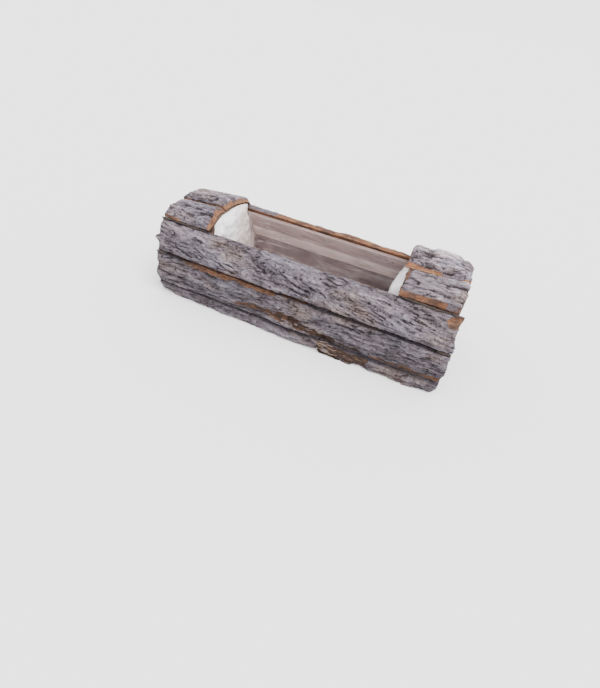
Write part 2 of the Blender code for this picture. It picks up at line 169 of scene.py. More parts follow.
# The two long sides of a slab, as rim_of numbers them
FIRST, SECOND = 2, 3

# Ramps of the bark's colour, from painted shade in its furrows up to painted highlight on its ridges,
# and of the wood's, from dark to light grain
GREY_BARK = ((0.06, (0.010, 0.007, 0.008)), (0.28, (0.046, 0.036, 0.042)),
             (0.52, (0.095, 0.078, 0.091)), (0.76, (0.158, 0.133, 0.151)),
             (0.98, (0.262, 0.229, 0.251)))
WARM_BARK = ((0.06, (0.013, 0.007, 0.006)), (0.30, (0.057, 0.039, 0.035)),
             (0.56, (0.123, 0.089, 0.085)), (0.90, (0.229, 0.183, 0.175)))
BLUISH = (0.84, 0.92, 1.05)
FRESH_WOOD = ((0.30, (0.049, 0.019, 0.011)), (0.45, (0.113, 0.047, 0.024)),
              (0.58, (0.164, 0.079, 0.042)), (0.72, (0.225, 0.135, 0.088)))
ROTTEN_WOOD = ((0.32, (0.007, 0.004, 0.003)), (0.48, (0.029, 0.015, 0.011)),
               (0.60, (0.063, 0.034, 0.022)), (0.74, (0.132, 0.076, 0.050)))
WOOD_DIRT = (0.049, 0.026, 0.020)

# Dark, middle and light grain of the boards
UPPER_BOARD = ((0.180, 0.122, 0.117), (0.350, 0.250, 0.238), (0.480, 0.365, 0.352))
LOWER_BOARD = ((0.058, 0.036, 0.038), (0.118, 0.074, 0.078), (0.200, 0.136, 0.140))
PALE_BOARD = ((0.475, 0.355, 0.330), (0.670, 0.530, 0.490), (0.800, 0.690, 0.660))
CROSS_BOARD = ((0.045, 0.027, 0.018), (0.110, 0.070, 0.048), (0.175, 0.120, 0.088))
# Painted shade where the boards show in the gaps between the bark slabs: its colour, the upper
# board's height where it starts, how far it rises and how dark it gets, a height above every board,
# and its reach and strength at the log's ends
BOARD_GAP_SHADE = (0.090, 0.055, 0.046)
UPPER_BOARD_TOP = 0.0962
TOP_GAP_SHADE = (0.0012, 0.75)
NO_TOP_GAP_SHADE = 1.0
END_GAP_SHADE = (0.1880, 0.1960, 0.70)

# Loose fibres over the torn foot of the front, as the ranges that they are drawn from
FIBRE_SEED = 17
FIBRE_COUNT = 16
FIBRE_X = (0.040, 0.060)
FIBRE_Y = -0.0805
FIBRE_Z = (0.007, 0.021)
FIBRE_REACH = (0.012, 0.030)
FIBRE_RISE = (-0.005, 0.004)
FIBRE_SAG = (-0.003, 0.003)
FIBRE_SWAY = (0.0, 0.0015)
FIBRE_RADIUS = (0.00020, 0.00042)
FIBRE_COLOURS = ((0.080, 0.048, 0.034), (0.220, 0.150, 0.115))

# Torn wood in the gaps between slabs, darkened as painted shade in the gaps, as its two ends and its
# radius
SPLINTERS = (((-0.2010, -0.0565, 0.1058), (-0.1840, -0.0565, 0.1064), 0.0017),
             ((-0.1860, -0.0562, 0.1056), (-0.1300, -0.0562, 0.1056), 0.0012),
             ((-0.1440, 0.0495, 0.1100), (-0.1258, 0.0495, 0.1100), 0.0022),
             ((-0.1965, 0.0540, 0.1080), (-0.1285, 0.0540, 0.1082), 0.0032),
             ((-0.2030, -0.0715, 0.0628), (-0.1860, -0.0715, 0.0628), 0.0022),
             ((0.1310, -0.0565, 0.1058), (0.1900, -0.0565, 0.1058), 0.0015),
             ((0.1880, -0.0570, 0.1062), (0.2010, -0.0570, 0.1058), 0.0017),
             ((0.1300, 0.0545, 0.1082), (0.1970, 0.0545, 0.1082), 0.0034),
             ((0.1300, -0.0135, 0.1208), (0.1960, -0.0135, 0.1208), 0.0024),
             ((0.1900, -0.0720, 0.0628), (0.2065, -0.0720, 0.0628), 0.0022))
SPLINTER_WAVE = (300, 0.0005)
# Nearly black: the torn wood's own colour darkened as painted shade in the gaps.
SPLINTER_SHADE_COLOURS = ((0.008, 0.004, 0.003), (0.032, 0.017, 0.012))

# The film: its clearance, where it ends, the step of its grid, and the size of its end sheets
FILM_CLEARANCE = 0.0010
FILM_FRONT_TOP = 0.0985
FILM_BACK_TOP = 0.1030
FILM_STEP = 0.0022
FILM_UNDER_ARCH = 0.0014
FILM_END_FRONT = 0.0480
FILM_END_BACK = 0.0425
FILM_NARROWS = (0.090, 0.103)

# Its folds, creases and whitish streaks of painted sheen: cells per metre along and across, and how
# they slant
FILM_FOLDS = ((26, 9), (34, 6))
FILM_FOLD_LIFT = 0.0014
FILM_CREASES = ((60, 30), (70, 20))
FILM_CREASE_LIFT = 0.0009
FILM_SHEEN_STREAKS = ((11, 16), (52, 8))
FILM_SHEEN_STREAK_WIDTH = 0.09
FILM_SHEEN_STREAK_PATCHES = (16, 24)
CREASE_VEIL, STREAK_SHEEN, CORNER_VEIL = 0.10, 0.46, 0.9
CORNER_WIDTH = 0.012

# Its two end sheets, as side, bulge at the front and at the back, and share of the crumples
FILM_ENDS = ((-1, 0.0045, 0.0030, 1.0), (1, 0.0150, 0.0065, 0.5))
FILM_END_CELLS = 60
FILM_CRUMPLES = 0.0022
FILM_WRINKLES = 0.0016
END_VEIL = (0.90, 0.25)
FILM_WHITES = ((0.35, (0.74, 0.70, 0.69)), (0.60, (0.95, 0.93, 0.95)))
FILM_BACK_SHADE = (0.62, 0.52, 0.49)
FILM_GREYED = (0.50, 0.47, 0.48)

STAPLE_METAL = ((0.35, (0.42, 0.42, 0.44)), (0.65, (0.80, 0.80, 0.82)))


def lerp(a, b, share):
    return a + (b - a) * share


def smooth(low, high, value):
    """0 below low, 1 above high and a smooth rise between them, on arrays."""
    share = np.clip((value - low) / (high - low), 0, 1)
    return share * share * (3 - 2 * share)


def band(low, high, edge, value):
    """1 between low and high and 0 outside them, with soft edges, on arrays."""
    return smooth(low - edge, low + edge, value) * (1 - smooth(high - edge, high + edge, value))


def hashed(i, j, seed):
    """A whole number from 0 to 65535 for each pair of whole numbers and seed."""
    n = i.astype(np.int64) * 374761393 + j.astype(np.int64) * 668265263 + seed * 974634777
    n = n & 0xFFFFFFFF
    n = ((n ^ (n >> 13)) * 1274126177) & 0xFFFFFFFF
    return (n ^ (n >> 16)) & 0xFFFF


def lattice_noise(x, y, seed):
    """Smooth noise from -1 to 1: random values at whole numbers, blended between them."""
    x0, y0 = np.floor(x), np.floor(y)
    fx, fy = x - x0, y - y0
    fx, fy = fx * fx * (3 - 2 * fx), fy * fy * (3 - 2 * fy)

    def corner(i, j):
        return hashed(x0 + i, y0 + j, seed) / 32767.5 - 1.0

    low = corner(0, 0) * (1 - fx) + corner(1, 0) * fx
    high = corner(0, 1) * (1 - fx) + corner(1, 1) * fx
    return low * (1 - fy) + high * fy


def gradient_noise(x, y, seed):
    """Smooth noise from about -1 to 1 with no grid showing: random slopes at whole numbers."""
    x0, y0 = np.floor(x), np.floor(y)
    fx, fy = x - x0, y - y0
    sx, sy = (f * f * f * (f * (f * 6 - 15) + 10) for f in (fx, fy))

    def corner(i, j):
        angle = hashed(x0 + i, y0 + j, seed) * (2 * math.pi / 65536)
        return np.cos(angle) * (fx - i) + np.sin(angle) * (fy - j)

    low = lerp(corner(0, 0), corner(1, 0), sx)
    high = lerp(corner(0, 1), corner(1, 1), sx)
    return 1.5 * lerp(low, high, sy)


def noise_of(kind, x, y, seed):
    """Gradient noise with a kind's cells per metre along and across."""
    return gradient_noise(x * kind[0], y * kind[1], seed)


def edge_noise(kind, along, seed):
    """Gradient noise along a line, with a kind's cells per metre."""
    return gradient_noise(along * kind[0], along * 0 + 0.5, seed)


def slanted_noise(kind, x, s, seed):
    """Gradient noise whose cells slant across the film."""
    (along, along_slant), (across, across_slant) = kind
    return gradient_noise(x * along + s * along_slant, s * across - x * across_slant, seed)


def lines_where_zero(noise, width):
    """1 along the lines where a noise is zero, and 0 away from them."""
    return np.exp(-((noise / width) ** 2))


def bark_relief(x, g, seed, twist):
    """The coarse bark: long rounded plates between furrows, as on the frame's own slabs."""
    def noise(kind, y, offset):
        return lattice_noise(x * kind[0], y * kind[1], seed + offset)

    across = g + twist * x + WANDER[2] * noise(WANDER, g, 3)
    plates = PLATES[2] * (np.abs(noise(PLATES, across, 0)) ** PLATE_ROUNDING - PLATE_LEVEL)
    scales = SCALES[2] * (np.abs(noise(SCALES, across, 5)) - SCALE_LEVEL)
    return plates + scales + LUMPS[2] * noise(LUMPS, g, 7)


def bark_detail(x, g, seed, twist):
    """The fine bark over the coarse one: furrows, flakes that overlap, grain and pits."""
    bent_x = x + BENT_ALONG[2] * noise_of(BENT_ALONG, x, g, seed + 21)
    bent_g = g + twist * x + BENT_ACROSS[2] * noise_of(BENT_ACROSS, x, g, seed + 22)
    bent_g = bent_g + BENT_FINELY[2] * noise_of(BENT_FINELY, x, g, seed + 23)

    def bent(kind, offset):
        return noise_of(kind, bent_x, bent_g, seed + offset)

    wide = lines_where_zero(bent(WIDE_FURROWS, 24), WIDE_FURROW_WIDTH)
    wide = wide * smooth(-0.15, 0.35, noise_of(WIDE_FURROW_PATCHES, x, g, seed + 25))
    narrow = lines_where_zero(bent(NARROW_FURROWS, 26), NARROW_FURROW_WIDTH)
    narrow = narrow * smooth(-0.30, 0.30, noise_of(NARROW_FURROW_PATCHES, x, g, seed + 32))
    flakes = smooth(-0.15, 0.15, bent(FLAKES, 27))
    chips = smooth(-0.15, 0.15, bent(CHIPS, 30))
    grain = noise_of(GRAIN, x, g, seed + 28)
    pits = smooth(0.38, 0.62, bent(PITS, 29))
    return (-WIDE_FURROWS[2] * wide - NARROW_FURROWS[2] * narrow + FLAKES[2] * (flakes - 0.5)
            + CHIPS[2] * (chips - 0.5) + GRAIN[2] * grain - PITS[2] * pits)


class SlabGrid:
    """A slab's points on a grid, rows along it and columns across it, with what each one shows."""

    def __init__(self, slab):
        ends = np.array(slab["ends"])
        self.slab, self.seed = slab, slab["seed"]
        self.width = math.dist(*slab["lines"][0])
        self.span = ends[1].mean() - ends[0].mean()
        rows, columns = round(self.span / STEP_ALONG) + 1, round(self.width / STEP_ACROSS) + 1
        self.u, self.v = np.meshgrid(np.linspace(0, 1, rows), np.linspace(0, 1, columns),
                                     indexing="ij")
        self.g = self.v * self.width
        self.lay_lines()
        self.cut_ends(ends)
        self.grow_bark()

    def lay_lines(self):
        """The section line at each point: its start, its direction, its length and its normals."""
        u, slab = self.u, self.slab
        first = np.array(slab["lines"][0]) * (1 - u)[..., None, None]
        line = first + np.array(slab["lines"][1]) * u[..., None, None]
        chord = line[..., 1, :] - line[..., 0, :]
        self.start, self.length = line[..., 0, :], np.linalg.norm(chord, axis=-1)
        self.tangent = chord / self.length[..., None]
        self.normal = np.stack([-self.tangent[..., 1], self.tangent[..., 0]], axis=-1)
        slope = slab.get("bend", 0.0) * 4 * (1 - 2 * self.v) / self.length
        local = self.normal - slope[..., None] * self.tangent
        self.local = local / np.linalg.norm(local, axis=-1)[..., None]

    def cut_ends(self, ends):
        """X of the points on the bark and under it, and how ragged the ends and edges are."""
        u, v, g, slab = self.u, self.v, self.g, self.slab
        x_left, x_right = (lerp(ends[i, 0], ends[i, 1], v) for i in (0, 1))
        for side, low, high, cut in slab.get("nicks", ()):
            nick = cut * band(low, high, NICK_EDGE, v)
            x_left, x_right = (x_left + nick, x_right) if side < 0 else (x_left, x_right - nick)
        set_back = np.array(slab.get("set_back", ((0, 0), (0, 0))))
        self.inner_x = lerp(x_left, x_right, u)
        self.x = lerp(x_left + lerp(*set_back[0], v), x_right - lerp(*set_back[1], v), u)
        rough = np.where(u < 0.5, *slab.get("rough_ends", (1.0, 1.0)))
        jag = END_JAG[1] * lattice_noise(g * END_JAG[0], u * END_JAG_CELLS, self.seed + 11)
        fine_jag = gradient_noise(g * FINE_JAG[0], u * END_JAG_CELLS, self.seed + 31)
        jag = jag + FINE_JAG[1] * fine_jag
        self.jag = rough * jag * np.abs(2 * u - 1) ** END_JAG_REACH
        wave = EDGE_WAVE[1] * lattice_noise(self.x * EDGE_WAVE[0], v * 0 + 0.5, self.seed + 13)
        fine_wave = edge_noise(FINE_WAVE, self.x, self.seed + 33)
        self.wave = (wave + FINE_WAVE[1] * fine_wave) * (1 - 2 * v)

    def grow_bark(self):
        """The bark's height over its section line, and what its material reads."""
        u, v, g, x, slab = self.u, self.v, self.g, self.x, self.slab
        (left_first, left_second), (right_first, right_second) = slab["depth"]
        body = lerp(lerp(left_first, right_first, u), lerp(left_second, right_second, u), v)
        body = body + slab["crown"] * 4 * v * (1 - v)
        self.relief = bark_relief(x, g, self.seed, slab["twist"])
        self.detail = bark_detail(x, g, self.seed, slab["twist"])
        self.bare, self.decay = np.zeros_like(u), np.zeros_like(u)
        for dent in slab.get("dents", ()):
            self.dent(*dent)
        for patch in slab.get("torn", ()):
            self.tear(*patch)

        outer = body + self.relief + self.detail
        edge = np.minimum(np.minimum(v, 1 - v) * self.width, np.minimum(u, 1 - u) * self.span)
        outer = outer * (1 - EDGE_THINNING * np.clip(1 - edge / EDGE_WIDTH, 0, 1))
        outer = outer * lerp(slab.get("thin_edge", 1.0), 1.0, smooth(0.0, THIN_EDGE_SHARE, v))
        outer = outer - ROUNDED_EDGE[1] * np.clip(1 - edge / ROUNDED_EDGE[0], 0, 1) ** 2
        floor = BARK_FLOOR + FLOOR_GRAIN[2] * noise_of(FLOOR_GRAIN, x, g, self.seed)
        self.outer = np.maximum(outer, floor)

        # The heights also paint the colour: painted shade in furrows and pits and painted highlight
        # on ridges, scaled by each slab's own factor for it.
        height = self.detail / PAINTED_SHADE_DETAIL_RANGE + self.relief / PAINTED_SHADE_RELIEF_RANGE
        level = np.clip(PAINTED_SHADE_MEAN + slab.get("painted_shade_contrast", 1.0) * height, 0, 1)
        self.looks = {"relief": level, "bare": self.bare, "decay": self.decay}

    def dent(self, left, right, low, high, sink):
        share = np.clip((self.x - left) / (right - left), 0, 1)
        inside = band(lerp(*low, share), lerp(*high, share), DENT_BLUR, self.v)
        self.relief = self.relief - sink * inside * band(left, right, DENT_EDGE, self.x)

    def tear(self, left, right, low, high, sink, rot):
        """A patch without bark, with ragged edges, and scraps of bark on it where it is rotten."""
        x, v, g, seed = self.x, self.v, self.g, self.seed
        share = np.clip((x - left) / (right - left), 0, 1)
        ragged_x = x + RAGGED_ALONG[2] * noise_of(RAGGED_ALONG, x, g, seed + 41)
        ragged = RAGGED_ACROSS[2] + RAGGED_BY_ROT * rot
        ragged_v = v + ragged * noise_of(RAGGED_ACROSS, x, g, seed + 43)
        inside = band(lerp(*low, share), lerp(*high, share), TORN_BLUR, ragged_v)
        inside = inside * band(left, right, TORN_EDGE, ragged_x)
        if rot > 0:
            scraps = smooth(0.32, 0.45, noise_of(SCRAPS, x, g, seed + 45))
            inside = inside * (1 - SCRAPS[2] * scraps)
        lumps = gradient_noise(x * ROTTEN_LUMPS[0] + g * ROTTEN_LUMPS[0], g * ROTTEN_LUMPS[1],
                               seed + 46)
        fibres = WOOD_FIBRES[2] * noise_of(WOOD_FIBRES, x, g, seed + 44)
        fibres = fibres + rot * ROTTEN_LUMPS[2] * lumps
        self.relief = self.relief - inside * sink
        self.detail = lerp(self.detail, fibres, inside)
        self.bare = np.maximum(self.bare, inside)
        self.decay = np.maximum(self.decay, inside * rot)

    def points(self, rise, lean_share):
        """The grid's points at a height over the section lines, kept inside the frame's box."""
        v, slab = self.v, self.slab
        lean = slab.get("lean", (0.0, 0.0))
        along_edge = np.stack([self.local[..., 1], -self.local[..., 0]], axis=-1)
        spread_by = lean_share * (lean[1] * v - lean[0] * (1 - v))
        at = self.start + self.tangent * (v * self.length + self.wave)[..., None]
        at = at + self.normal * (slab.get("bend", 0.0) * 4 * v * (1 - v))[..., None]
        at = at + self.local * rise[..., None] + along_edge * spread_by[..., None]
        at[..., 1] = np.maximum(at[..., 1], GROUND_CLEARANCE)
        along = lerp(self.inner_x, self.x, lean_share) + self.jag
        return np.clip(np.concatenate([along[..., None], at], axis=-1), *CAD_BOX)


def rim_of(rows, columns):
    """The grid's border as index pairs, anticlockwise, with the side that each belongs to."""
    border = [(i, 0, 2) for i in range(rows - 1)]
    border += [(rows - 1, j, 1) for j in range(columns - 1)]
    border += [(i, columns - 1, 3) for i in range(rows - 1, 0, -1)]
    border += [(0, j, 0) for j in range(columns - 1, 0, -1)]
    return [np.array(part) for part in zip(*border)]


def grid_faces(rows, columns, offset=0):
    index = np.arange(rows * columns).reshape(rows, columns) + offset
    return np.stack([index[:-1, :-1], index[1:, :-1], index[1:, 1:], index[:-1, 1:]],
                    axis=-1).reshape(-1, 4)


def slab_walls(slab, top, bottom, side, across):
    """The rows of points of a slab's walls from its bark down, with their looks by name."""
    out_of = np.select([side[:, None] == k for k in range(4)],
                       [np.array((-1.0, 0, 0)), np.array((1.0, 0, 0)), -across, across])
    travel = np.concatenate([[0], np.cumsum(np.linalg.norm(np.diff(top, axis=0), axis=1))])
    thickness = np.linalg.norm(top - bottom, axis=1)
    fresh = np.array(slab.get("fresh_sides", FRESH_BY_DEFAULT))[side]
    for of_side, left, right, share in slab.get("fresh_spans", ()):
        inside = band(left, right, FRESH_EDGE, top[:, 0]) * (side == of_side)
        fresh = lerp(fresh, share, inside)
    patchy = edge_noise((FRESH_PATCHES,), travel, slab["seed"]) + 0.5 * fresh
    fresh = fresh * smooth(-0.60, 0.10, patchy)
    points, looks = [], {"relief": [], "bare": [], "decay": []}
    for row in range(1, WALL_ROWS):
        share = row / WALL_ROWS
        layer = thickness * share
        rough = WALL_LAYERS[2] * noise_of(WALL_LAYERS, travel, layer, slab["seed"] + 51)
        rough = rough + WALL_GRAIN[2] * noise_of(WALL_GRAIN, travel, layer, slab["seed"] + 52)
        rough = rough - WALL_HOLLOW * (1 - (2 * share - 1) ** 2)
        points.append(lerp(top, bottom, share) + out_of * rough[:, None])
        looks["bare"].append(fresh * min(1.0, 0.45 + share * 2.0))
        # Walls are painted darker where hollow and lighter where they stand out: painted shade and
        # highlight.
        looks["relief"].append(0.50 + WALL_PAINTED_SHADE_GAIN * rough)
        looks["decay"].append((1 - fresh) * WALL_DECAY)
    return points, looks


def bark_slab(name, slab, finish):
    """A closed slab of bark that stands for the frame's slab of the same name."""
    grid = SlabGrid(slab)
    outer = grid.points(grid.outer, 1.0)
    inner = grid.points(np.full_like(grid.u, GAP), 0.0)
    rows, columns = outer.shape[:2]
    count = rows * columns
    i, j, side = rim_of(rows, columns)
    across = np.concatenate([np.zeros((len(i), 1)), grid.tangent[i, j]], axis=1)
    wall_points, walls = slab_walls(slab, outer[i, j], inner[i, j], side, across)

    rim = np.arange(count).reshape(rows, columns)[i, j]
    rings = [rim] + [2 * count + row * len(rim) + np.arange(len(rim))
                     for row in range(WALL_ROWS - 1)] + [rim + count]
    quads = grid_faces(rows, columns)
    faces = [quads, quads[:, ::-1] + count]
    for upper, lower in zip(rings, rings[1:]):
        faces.append(np.stack([np.roll(upper, -1), upper, lower, np.roll(lower, -1)], axis=-1))

    points = np.concatenate([outer.reshape(-1, 3), inner.reshape(-1, 3), *wall_points])
    mesh = bpy.data.meshes.new(name)
    mesh.from_pydata(points.tolist(), [], np.concatenate(faces).tolist())
    for key, inner_value in (("relief", 0.4), ("bare", 1.0), ("decay", 0.3)):
        values = [grid.looks[key].reshape(-1), np.full(count, inner_value), *walls[key]]
        give_attribute(mesh, key, np.concatenate(values))
    # Each slab's brightness factor is painted light and shade: brighter on the top slab behind on the
    # right, darker on the lower front slabs and feet, partly their own darker grey.
    give_attribute(mesh, "shade", np.full(len(points), slab.get("shade", 1.0)))
    mesh.shade_smooth()
    return add(name, mesh, finish)


def give_attribute(mesh, name, values):
    layer = mesh.attributes.new(name, "FLOAT", "POINT")
    layer.data.foreach_set("value", values.astype(np.float32))


def add(name, mesh, finish):
    obj = bpy.data.objects.new(name, mesh)
    bpy.context.scene.collection.objects.link(obj)
    obj.data.materials.append(finish)
    return obj


class Shader:
    """A short way to write a node material: its Principled shader and the nodes before it."""

    def __init__(self, name):
        self.material = bpy.data.materials.new(name)
        self.material.use_nodes = True
        self.tree = self.material.node_tree
        self.out = self.tree.nodes["Principled BSDF"]
        self.where = self.node("ShaderNodeTexCoord").outputs["Object"]

    def node(self, kind, **values):
        made = self.tree.nodes.new(kind)
        for key, value in values.items():
            setattr(made, key, value)
        return made

    def link(self, source, target):
        self.tree.links.new(source, target)

    def give(self, socket, value):
        if isinstance(value, bpy.types.NodeSocket):
            self.link(value, socket)
        else:
            socket.default_value = value

    def set(self, **values):
        """Gives the Principled shader's sockets a value or a node's output, by their names."""
        for key, value in values.items():
            self.give(self.out.inputs[key.replace("_", " ")], value)

    def place(self):
        """The point's X, Y and Z in the frame's metres."""
        made = self.node("ShaderNodeSeparateXYZ")
        self.link(self.where, made.inputs["Vector"])
        return made.outputs

    def noise(self, scale, stretch=(1, 1, 1), detail=4.0, roughness=0.55, distortion=0.0):
        mapping = self.node("ShaderNodeMapping")
        self.link(self.where, mapping.inputs["Vector"])
        mapping.inputs["Scale"].default_value = stretch
        made = self.node("ShaderNodeTexNoise")
        self.link(mapping.outputs["Vector"], made.inputs["Vector"])
        made.inputs["Scale"].default_value = scale
        made.inputs["Detail"].default_value = detail
        made.inputs["Roughness"].default_value = roughness
        made.inputs["Distortion"].default_value = distortion
        return made.outputs["Fac"]

    def attribute(self, name):
        return self.node("ShaderNodeAttribute", attribute_name=name).outputs["Fac"]

    def ramp(self, value, *stops):
        made = self.node("ShaderNodeValToRGB")
        points = made.color_ramp.elements
        while len(points) < len(stops):
            points.new(0.5)
        for point, (place, colour) in zip(points, stops):
            point.position = place
            point.color = (*colour, 1.0)
        self.link(value, made.inputs["Fac"])
        return made.outputs["Color"]

    def span(self, value, low, high, out_low=0.0, out_high=1.0):
        made = self.node("ShaderNodeMapRange", interpolation_type="SMOOTHSTEP")
        self.link(value, made.inputs["Value"])
        for key, number in zip(("From Min", "From Max", "To Min", "To Max"),
                               (low, high, out_low, out_high)):
            made.inputs[key].default_value = number
        return made.outputs["Result"]

    def math(self, operation, a, b=0.0):
        made = self.node("ShaderNodeMath", operation=operation)
        self.give(made.inputs[0], a)
        self.give(made.inputs[1], b)
        return made.outputs[0]

    def weighted(self, a, a_weight, b, b_weight):
        """The sum of two values, each times its own weight."""
        return self.math("ADD", self.math("MULTIPLY", a, a_weight),
                         self.math("MULTIPLY", b, b_weight))

    def mix(self, share, a, b, blend="MIX"):
        made = self.node("ShaderNodeMix", data_type="RGBA", blend_type=blend)
        self.give(made.inputs["Factor"], share)
        for socket, value in zip([s for s in made.inputs if s.type == "RGBA"], (a, b)):
            self.give(socket, (*value, 1.0) if isinstance(value, tuple) else value)
        return [s for s in made.outputs if s.type == "RGBA"][0]

    def bump(self, height, distance, strength, normal=None):
        made = self.node("ShaderNodeBump")
        self.link(height, made.inputs["Height"])
        made.inputs["Distance"].default_value = distance
        made.inputs["Strength"].default_value = strength
        if normal is not None:
            self.link(normal, made.inputs["Normal"])
        return made.outputs["Normal"]


def bark_material():
    """Grey bark with painted shade in its furrows and painted highlight on its ridges, warm in
    patches, and wood where it is bare.
    """
    s = Shader("bark_finish")
    relief, bare, decay = s.attribute("relief"), s.attribute("bare"), s.attribute("decay")
    grain = s.noise(700, (0.70, 1, 1), 5, 0.70)
    streaks = s.noise(300, (0.22, 1, 1), 4, 0.62)
    tone = s.noise(30, (0.50, 1, 1), 3, 0.55)
    blue = s.noise(21, (0.60, 1, 1), 2, 0.50)
    mottle = s.weighted(grain, 0.55, streaks, 0.45)
    # Relief paints shade in the furrows and highlight on the ridges; the mottle of grain is the
    # bark's own.
    level = s.math("ADD", relief, s.math("MULTIPLY", s.math("SUBTRACT", mottle, 0.50), 2.0))
    warm_share = s.span(tone, 0.50, 0.66, 0.0, 0.85)
    colour = s.mix(warm_share, s.ramp(level, *GREY_BARK), s.ramp(level, *WARM_BARK))
    colour = s.mix(s.span(blue, 0.50, 0.66, 0.0, 0.40), colour, BLUISH, "MULTIPLY")

    fibre = s.noise(900, (0.10, 1, 1), 4, 0.60)
    dirt = s.noise(120, (0.5, 1, 1), 3, 0.60)
    wood = s.mix(s.span(dirt, 0.43, 0.60, 0.0, 0.80), s.ramp(fibre, *FRESH_WOOD), WOOD_DIRT)
    rot = s.span(s.math("ADD", decay, s.math("SUBTRACT", dirt, 0.5)), 0.15, 0.85)
    wood = s.mix(rot, wood, s.ramp(fibre, *ROTTEN_WOOD))
    colour = s.mix(s.span(bare, 0.30, 0.70), colour, wood)
    # Times each slab's brightness factor: painted light on the top slab, painted shade on the lower
    # front slabs and feet, partly their own darker grey.
    colour = s.mix(1.0, colour, s.attribute("shade"), "MULTIPLY")
    fine = s.bump(grain, 0.0007, 0.9)
    s.set(Base_Color=colour, Roughness=s.span(mottle, 0.35, 0.65, 0.95, 0.78),
          Specular_IOR_Level=0.25, Normal=s.bump(streaks, 0.0009, 0.8, fine))
    return s.material


def board_material(name, colours, across=False, shaded_above=NO_TOP_GAP_SHADE):
    """Sawn board with its grain along X, or along Y where it stands across the log.

    It is painted darker at the log's ends and above a height, as shade where it shows in the gaps
    between the bark slabs.
    """
    s = Shader(name)
    dark, mid, light = colours
    stretch = (1, 0.06, 1) if across else (0.06, 1, 1)
    grain = s.noise(420, stretch, 5, 0.62, 0.3)
    patches = s.noise(26, (0.35, 1, 1), 3, 0.55)
    saw = s.noise(1400, (1, 0.35, 1), 2, 0.5)
    colour = s.ramp(grain, (0.34, dark), (0.50, mid), (0.66, light))
    colour = s.mix(s.span(patches, 0.45, 0.62, 0.0, 0.55), colour, dark)
    place = s.place()
    on_top = s.span(place["Z"], shaded_above, shaded_above + TOP_GAP_SHADE[0], 0.0, TOP_GAP_SHADE[1])
    reach = s.math("ABSOLUTE", place["X"])
    at_end = s.span(reach, END_GAP_SHADE[0], END_GAP_SHADE[1], 0.0, END_GAP_SHADE[2])
    # Painted shade on the board's top and ends, where they show in the gaps between the bark slabs.
    colour = s.mix(s.math("MAXIMUM", on_top, at_end), colour, BOARD_GAP_SHADE)
    fine = s.bump(saw, 0.0002, 0.5)
    s.set(Base_Color=colour, Roughness=s.span(grain, 0.3, 0.7, 0.85, 0.65),
          Normal=s.bump(grain, 0.0006, 0.8, fine))
    return s.material


def fibre_material(name, colours):
    s = Shader(name)
    dark, light = colours
    s.set(Base_Color=s.ramp(s.noise(300, (0.3, 1, 1)), (0.35, dark), (0.65, light)),
          Roughness=0.85)
    return s.material


def film_material():
    """Clear film, whitish in its milkiness and in streaks and haze of painted sheen, darker and beige
    towards the back as painted shade, and greyer to the right.
    """
    s = Shader("film_finish")
    haze = s.noise(40, (0.28, 1, 1), 5, 0.62, 1.2)
    creases = s.noise(120, (0.45, 1, 1), 3, 0.55, 2.0)
    # Whitish haze over the film: partly its own cloudiness, partly painted sheen.
    haze_and_sheen = s.math("MULTIPLY", s.span(haze, 0.42, 0.66, 0.25, 1.0),
                   s.span(creases, 0.40, 0.60, 0.7, 1.0))
    veil = s.weighted(s.attribute("milky_and_sheen"), 0.88, haze_and_sheen, 0.32)
    place = s.place()
    # Darker and beige towards the back: painted shade in the back of the trough and its back corner.
    back_shade = s.span(place["Y"], -0.014, 0.034, 0.0, 0.90)
    colour = s.mix(back_shade, s.ramp(haze, *FILM_WHITES), FILM_BACK_SHADE)
    greyed = s.span(place["X"], 0.0, 0.110, 0.0, 0.85)
    s.set(Base_Color=s.mix(greyed, colour, FILM_GREYED), Alpha=s.span(veil, 0.0, 1.0, 0.05, 0.97),
          Roughness=0.22, IOR=1.5, Normal=s.bump(creases, 0.0020, 0.7))
    return s.material


def metal_material():
    s = Shader("staple_finish")
    s.set(Base_Color=s.ramp(s.noise(900), *STAPLE_METAL), Metallic=1.0, Roughness=0.30)
    return s.material


def inset(point, nxt, distance):
    """A stretch of a section moved in by a distance."""
    first, second = Vector(point), Vector(nxt)
    step = (second - first).normalized()
    inward = Vector((step.y, -step.x)) * distance
    return first + inward, second + inward


def crossing(a, b):
    (p, p2), (q, q2) = a, b
    r, t = p2 - p, q2 - q
    share = ((q - p).x * t.y - (q - p).y * t.x) / (r.x * t.y - r.y * t.x)
    return p + r * share


def at_height(stretch, z):
    first, second = stretch
    return first.lerp(second, (z - first.y) / (second.y - first.y))


def film_section():
    """The film's line across the trough, from the front rim round the floor to the back rim."""
    depth = SLAT_THICKNESS + FILM_CLEARANCE
    wall, slope = inset(KNEE, SHOULDER, depth), inset(SHOULDER, RIM, depth)
    bend, foot = crossing(wall, slope), at_height(wall, BASE_THICKNESS + FILM_CLEARANCE)
    front = (at_height(slope, FILM_FRONT_TOP), bend, foot)
    back = (foot, bend, at_height(slope, FILM_BACK_TOP))
    return [(p.x, p.y) for p in front] + [(-p.x, p.y) for p in back]


def spread(points, step):
    """Evenly spaced points along a line of straight stretches."""
    points = np.array(points)
    lengths = np.linalg.norm(np.diff(points, axis=0), axis=1)
    marks = np.concatenate([[0], np.cumsum(lengths)])
    even = np.linspace(0, marks[-1], round(marks[-1] / step) + 1)
    return np.stack([np.interp(even, marks, points[:, k]) for k in (0, 1)], axis=-1), even


def side_of_section(section):
    """Heights and half-widths of the trough, from the floor up, for interpolation."""
    back = section[len(section) // 2 :]
    order = np.argsort(back[:, 1])
    return back[order, 1], back[order, 0]


